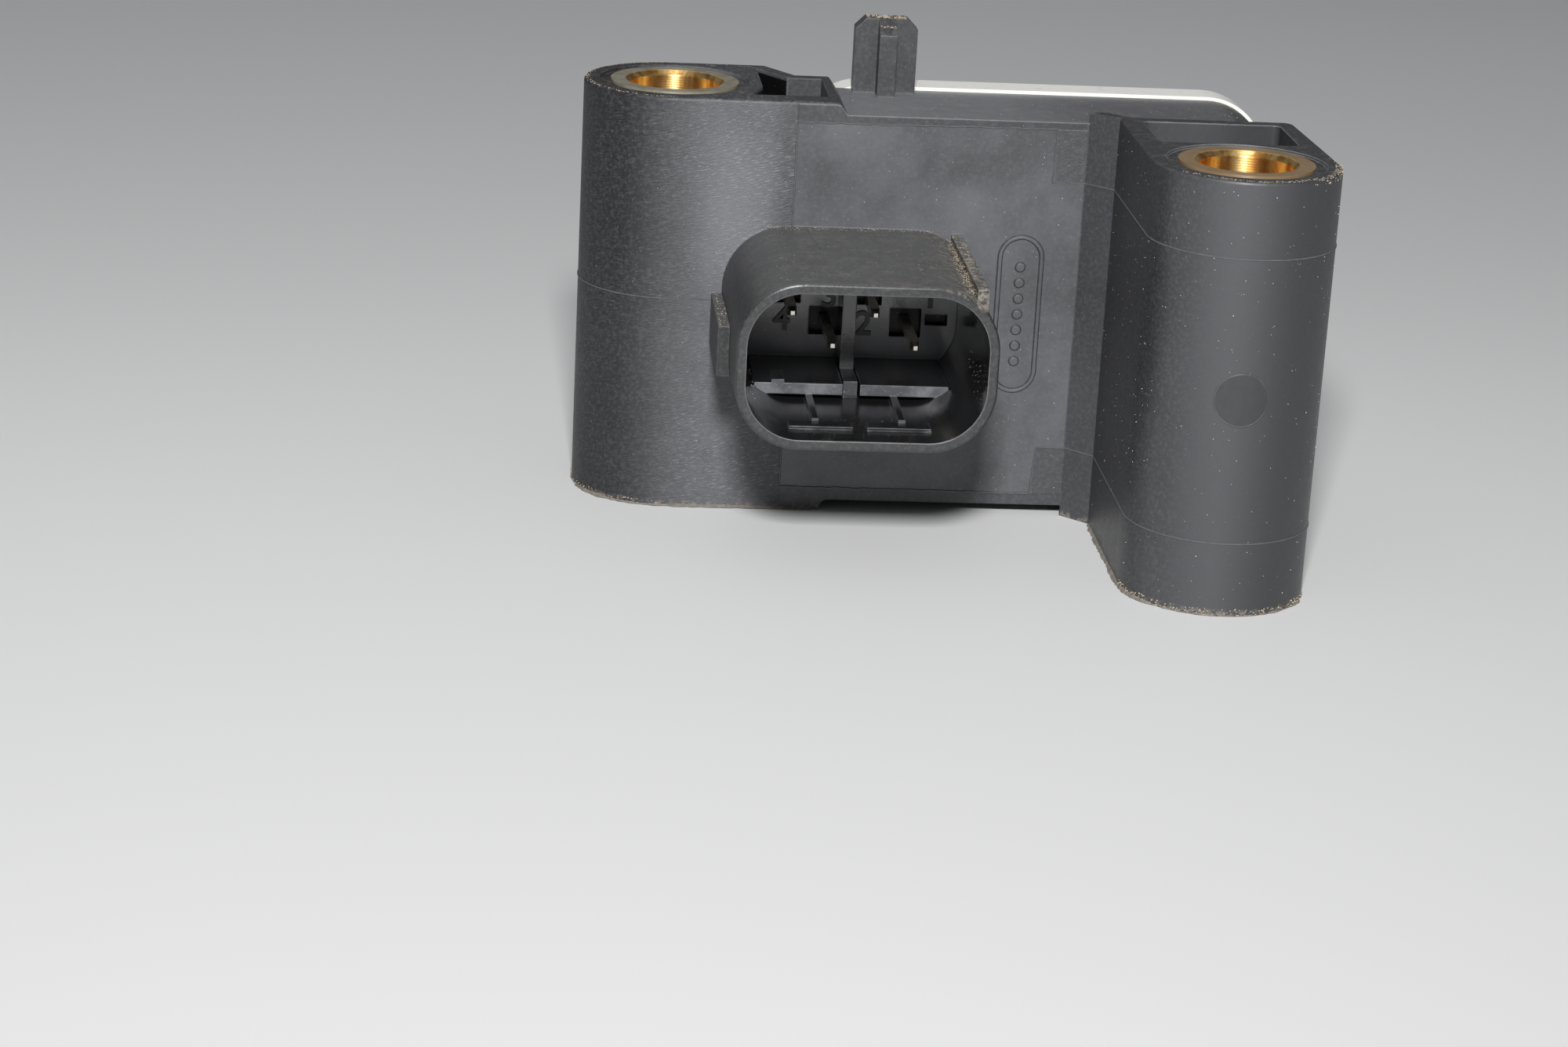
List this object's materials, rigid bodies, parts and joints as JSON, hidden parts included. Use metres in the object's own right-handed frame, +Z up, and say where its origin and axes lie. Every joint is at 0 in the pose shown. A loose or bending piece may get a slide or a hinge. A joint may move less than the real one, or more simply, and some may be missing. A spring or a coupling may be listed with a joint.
{
  "type": "crash sensor",
  "caption": "Front crash sensor of a car: black plastic housing with two brass-bushed bosses, a keyed plug socket with square contacts, a locating tab and a pale welded back cover",
  "frame": {"origin": "axis of the left bush at the height of the boss feet, on the mounting plane", "axes": "+Z up along both bushes, +X to the right along the front face, -Y out of the plug socket"},
  "size_m": [0.0504, 0.0343, 0.0346],
  "materials": {
    "housing_plastic": "black glass-filled plastic, satin with a coarse textured boss",
    "bush_brass": "turned brass, dull end faces, bright bore",
    "cover_plastic": "natural off-white plastic, satin",
    "contact_metal": "tin-plated copper alloy, satin",
    "board_laminate": "green solder-masked laminate",
    "chip_mould": "black moulding compound",
    "capacitor_ceramic": "brown ceramic",
    "solder": "bright solder"
  },
  "bodies": {
    "root": {"housing": "housing_plastic", "left_bush": "bush_brass", "right_bush": "bush_brass", "rear_cover": "cover_plastic", "contact_pin_1": "contact_metal", "contact_pin_2": "contact_metal", "contact_pin_3": "contact_metal", "contact_pin_4": "contact_metal", "circuit_board": "board_laminate", "acceleration_sensor": "chip_mould", "interface_chip": "chip_mould", "buffer_capacitor": "capacitor_ceramic", "filter_capacitor_1": "capacitor_ceramic", "filter_capacitor_2": "capacitor_ceramic", "filter_capacitor_3": "capacitor_ceramic", "chip_resistor_1": "chip_mould", "chip_resistor_2": "chip_mould", "chip_resistor_3": "chip_mould", "chip_resistor_4": "chip_mould", "protection_diode": "chip_mould", "solder_joints": "solder"}
  },
  "joints": []
}
